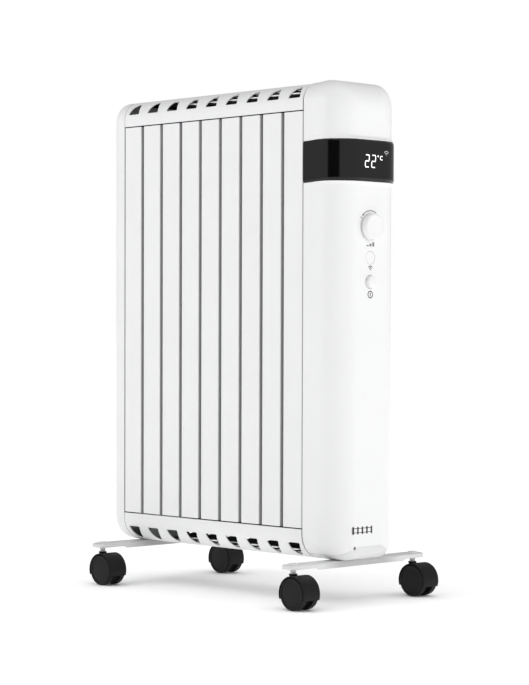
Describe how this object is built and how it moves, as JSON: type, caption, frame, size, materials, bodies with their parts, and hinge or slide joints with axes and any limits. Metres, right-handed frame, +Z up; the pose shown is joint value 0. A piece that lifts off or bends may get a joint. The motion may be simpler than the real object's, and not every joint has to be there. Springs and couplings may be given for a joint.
{
  "type": "oil filled radiator heater",
  "caption": "Upright oil filled column radiator with flat side panels, vented top and bottom covers, a control housing with a display band, and swivel castors.",
  "frame": {"origin": "on the floor, under the centre of the bounding box", "axes": "+Z up, +X along the row of fins towards the control end, +Y towards the side that carries the cord gland"},
  "size_m": [0.4314, 0.2406, 0.6415],
  "materials": {
    "body_paint": "satin white powder coat",
    "nut_paint": "satin white",
    "housing_white": "satin moulded white",
    "control_white": "satin moulded white",
    "gloss_black": "high gloss",
    "circuit_board": "solder mask",
    "black_plastic": "moulded",
    "ivory_plastic": "moulded",
    "header_steel": "bare welded steel",
    "element_sheath": "oxidised sheath",
    "gasket_fibre": "compressed fibre",
    "galvanised_steel": "galvanised",
    "zinc_steel": "zinc plated",
    "sensor_metal": "drawn cap",
    "hood_nylon": "fine textured nylon",
    "wheel_nylon": "satin nylon"
  },
  "bodies": {
    "frame": {"fin_1": "body_paint", "fin_2": "body_paint", "fin_3": "body_paint", "fin_4": "body_paint", "fin_5": "body_paint", "fin_6": "body_paint", "fin_7": "body_paint", "fin_8": "body_paint", "fin_9": "body_paint", "header_caps": "header_steel", "filler_plug": "header_steel", "heating_element": "element_sheath", "element_gasket": "gasket_fibre", "top_grille": "body_paint", "bottom_grille": "body_paint", "rear_plate": "galvanised_steel", "rear_cover": "body_paint", "heat_shield": "galvanised_steel", "control_housing": "housing_white", "bottom_cover": "housing_white", "cover_screws": "zinc_steel", "display_band": "gloss_black", "display_board": "circuit_board", "control_board": "circuit_board", "power_board": "circuit_board", "encoder_body": "black_plastic", "terminal_block": "ivory_plastic", "thermal_cutout": "sensor_metal", "temperature_probe": "black_plastic", "tilt_switch": "ivory_plastic", "cord_gland": "black_plastic", "foot_bracket_front": "galvanised_steel", "foot_bracket_rear": "galvanised_steel", "foot_screws": "zinc_steel", "foot_bar_front": "body_paint", "foot_bar_rear": "body_paint", "castor_stems": "zinc_steel", "castor_nuts": "nut_paint"},
    "knob_carrier": {"encoder_plunger": "zinc_steel"},
    "knob": {"encoder_shaft": "zinc_steel", "knob": "control_white"},
    "wifi_button": {"wifi_button": "control_white"},
    "power_button": {"power_button": "control_white"},
    "tilt_pendulum": {"tilt_pendulum": "zinc_steel"},
    "castor_front_left": {"hood_front_left": "hood_nylon", "axle_front_left": "zinc_steel"},
    "wheel_front_left_a": {"wheel_front_left_a": "wheel_nylon"},
    "wheel_front_left_b": {"wheel_front_left_b": "wheel_nylon"},
    "castor_front_right": {"hood_front_right": "hood_nylon", "axle_front_right": "zinc_steel"},
    "wheel_front_right_a": {"wheel_front_right_a": "wheel_nylon"},
    "wheel_front_right_b": {"wheel_front_right_b": "wheel_nylon"},
    "castor_rear_left": {"hood_rear_left": "hood_nylon", "axle_rear_left": "zinc_steel"},
    "wheel_rear_left_a": {"wheel_rear_left_a": "wheel_nylon"},
    "wheel_rear_left_b": {"wheel_rear_left_b": "wheel_nylon"},
    "castor_rear_right": {"hood_rear_right": "hood_nylon", "axle_rear_right": "zinc_steel"},
    "wheel_rear_right_a": {"wheel_rear_right_a": "wheel_nylon"},
    "wheel_rear_right_b": {"wheel_rear_right_b": "wheel_nylon"}
  },
  "joints": [
    {"name": "knob_push", "type": "slide", "parent": "frame", "child": "knob_carrier", "axis": [-1, 0, 0], "range_m": [0, 0.0005], "stiffness_N_per_m": 1500, "springref_m": -0.001},
    {"name": "knob_turn", "type": "hinge", "parent": "knob_carrier", "child": "knob", "pos_m": [0.2068, 0, 0.4617], "axis": [1, 0, 0], "continuous": true},
    {"name": "wifi_press", "type": "slide", "parent": "frame", "child": "wifi_button", "axis": [-1, 0, 0], "range_m": [0, 0.0008], "stiffness_N_per_m": 800, "springref_m": -0.001},
    {"name": "power_press", "type": "slide", "parent": "frame", "child": "power_button", "axis": [-1, 0, 0], "range_m": [0, 0.0008], "stiffness_N_per_m": 800, "springref_m": -0.001},
    {"name": "tilt_swing", "type": "hinge", "parent": "frame", "child": "tilt_pendulum", "pos_m": [0.1602, 0.03, 0.19], "axis": [1, 0, 0], "range_deg": [-25, 25]},
    {"name": "swivel_front_left", "type": "hinge", "parent": "frame", "child": "castor_front_left", "pos_m": [0.1821, -0.1063, 0.04], "axis": [0, 0, 1], "continuous": true},
    {"name": "spin_front_left_a", "type": "hinge", "parent": "castor_front_left", "child": "wheel_front_left_a", "pos_m": [0.1926, -0.1063, 0.02], "axis": [0, 1, 0], "continuous": true},
    {"name": "spin_front_left_b", "type": "hinge", "parent": "castor_front_left", "child": "wheel_front_left_b", "pos_m": [0.1926, -0.1063, 0.02], "axis": [0, 1, 0], "continuous": true},
    {"name": "swivel_front_right", "type": "hinge", "parent": "frame", "child": "castor_front_right", "pos_m": [0.1821, 0.1063, 0.04], "axis": [0, 0, 1], "continuous": true},
    {"name": "spin_front_right_a", "type": "hinge", "parent": "castor_front_right", "child": "wheel_front_right_a", "pos_m": [0.1926, 0.1063, 0.02], "axis": [0, 1, 0], "continuous": true},
    {"name": "spin_front_right_b", "type": "hinge", "parent": "castor_front_right", "child": "wheel_front_right_b", "pos_m": [0.1926, 0.1063, 0.02], "axis": [0, 1, 0], "continuous": true},
    {"name": "swivel_rear_left", "type": "hinge", "parent": "frame", "child": "castor_rear_left", "pos_m": [-0.1753, -0.1063, 0.04], "axis": [0, 0, 1], "continuous": true},
    {"name": "spin_rear_left_a", "type": "hinge", "parent": "castor_rear_left", "child": "wheel_rear_left_a", "pos_m": [-0.1648, -0.1063, 0.02], "axis": [0, 1, 0], "continuous": true},
    {"name": "spin_rear_left_b", "type": "hinge", "parent": "castor_rear_left", "child": "wheel_rear_left_b", "pos_m": [-0.1648, -0.1063, 0.02], "axis": [0, 1, 0], "continuous": true},
    {"name": "swivel_rear_right", "type": "hinge", "parent": "frame", "child": "castor_rear_right", "pos_m": [-0.1753, 0.1063, 0.04], "axis": [0, 0, 1], "continuous": true},
    {"name": "spin_rear_right_a", "type": "hinge", "parent": "castor_rear_right", "child": "wheel_rear_right_a", "pos_m": [-0.1648, 0.1063, 0.02], "axis": [0, 1, 0], "continuous": true},
    {"name": "spin_rear_right_b", "type": "hinge", "parent": "castor_rear_right", "child": "wheel_rear_right_b", "pos_m": [-0.1648, 0.1063, 0.02], "axis": [0, 1, 0], "continuous": true}
  ]
}
